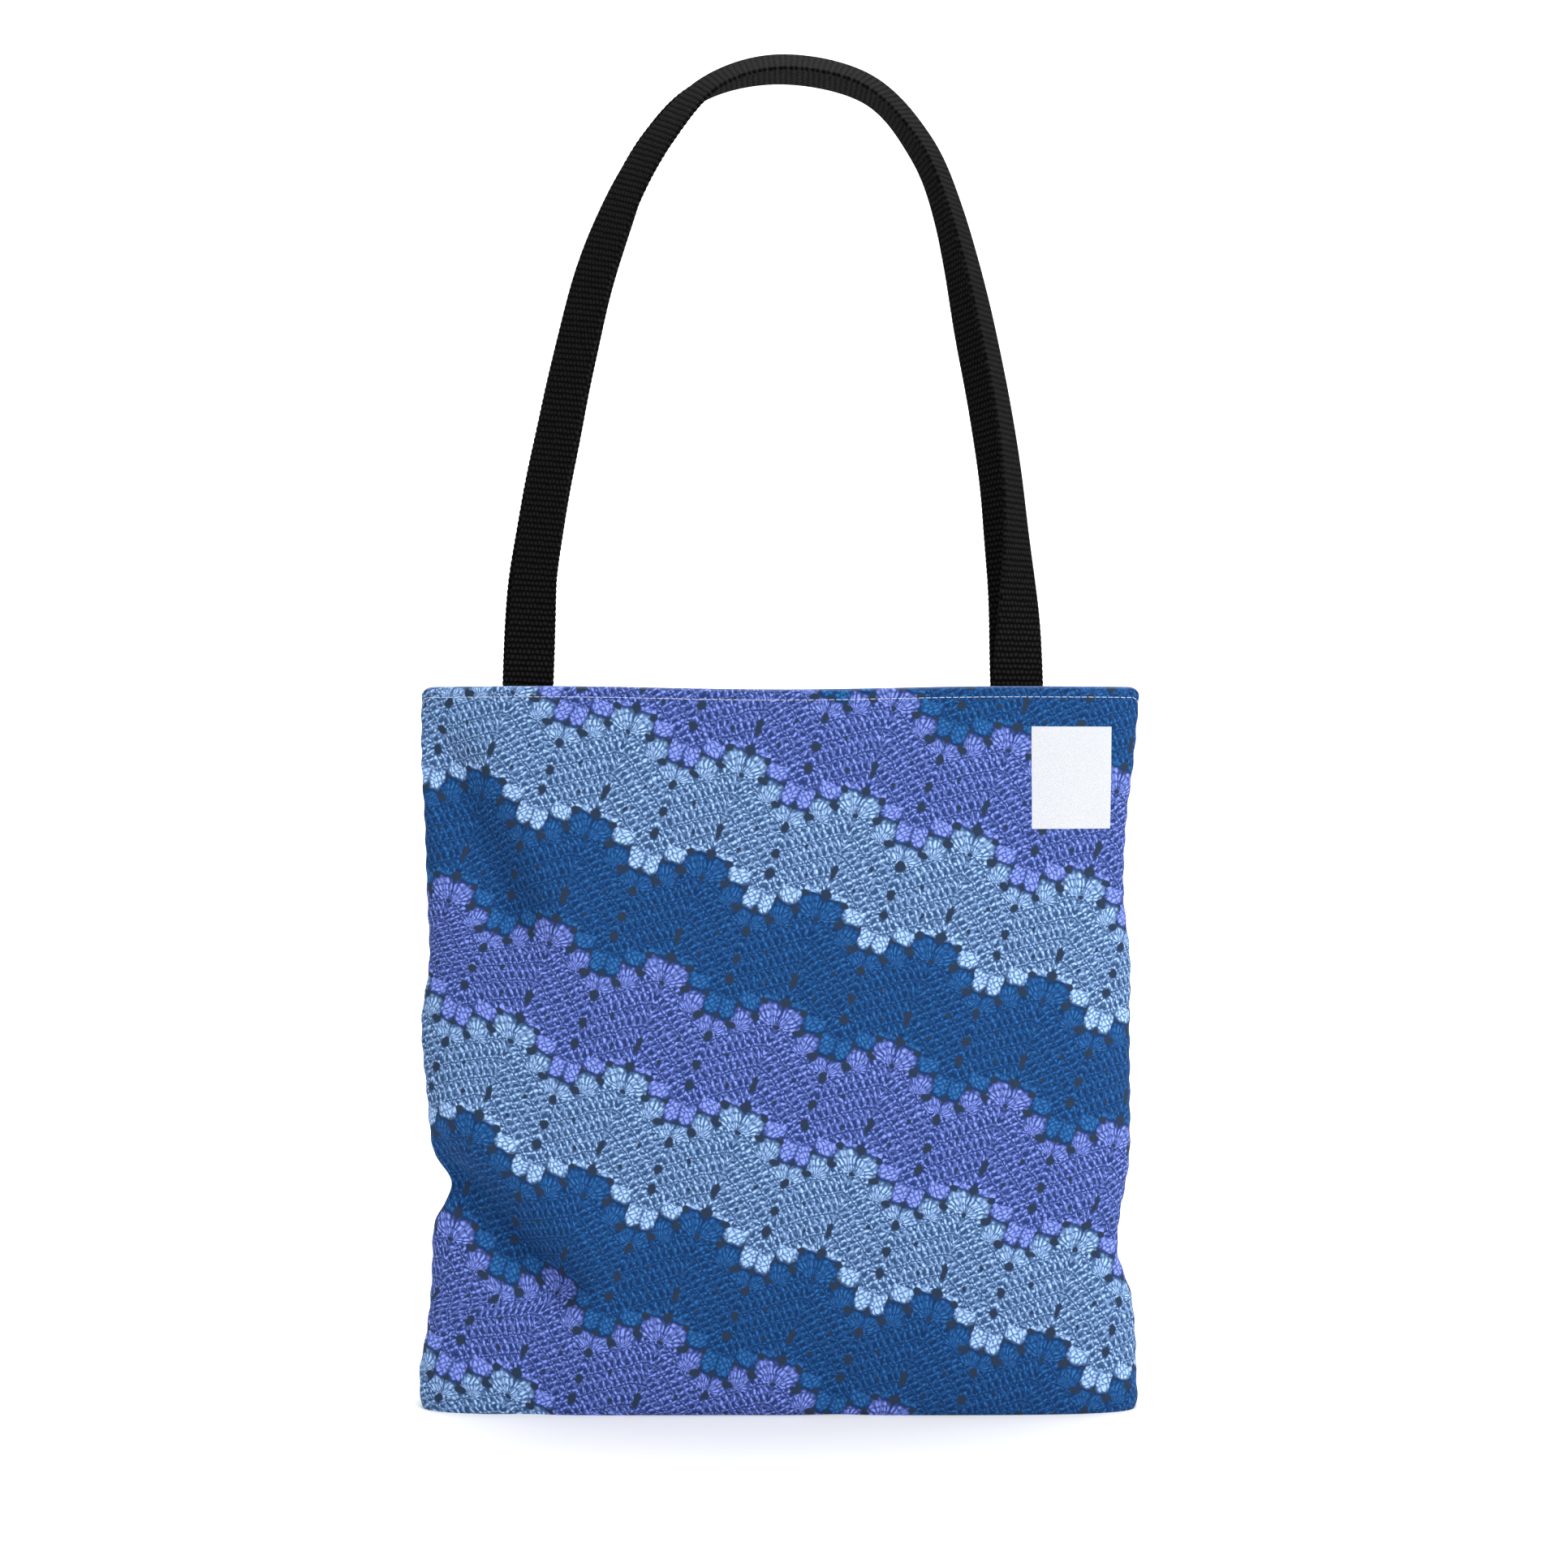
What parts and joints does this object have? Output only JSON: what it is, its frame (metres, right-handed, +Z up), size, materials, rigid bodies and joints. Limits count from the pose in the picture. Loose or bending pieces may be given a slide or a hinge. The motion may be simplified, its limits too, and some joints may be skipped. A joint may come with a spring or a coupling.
{
  "type": "tote bag",
  "caption": "Flat cloth tote bag with a hemmed open mouth and a boxed base, standing, its two webbing shoulder straps held up together in one arch",
  "frame": {"origin": "on the floor under the middle of the bag's bounding box", "axes": "+Z up from the base to the straps' arch; X along the bag's width, from the left side seam to the right as seen from the front; the front panel faces -Y"},
  "size_m": [0.3307, 0.0509, 0.6156],
  "materials": {
    "front_cloth": "smooth printed polyester cloth, matt",
    "back_cloth": "smooth printed polyester cloth, matt",
    "front_webbing": "black cotton webbing, cross-ribbed, matt",
    "back_webbing": "black cotton webbing, cross-ribbed, matt"
  },
  "bodies": {
    "root": {"front_panel": "front_cloth", "back_panel": "back_cloth", "front_strap": "front_webbing", "back_strap": "back_webbing"}
  },
  "joints": []
}
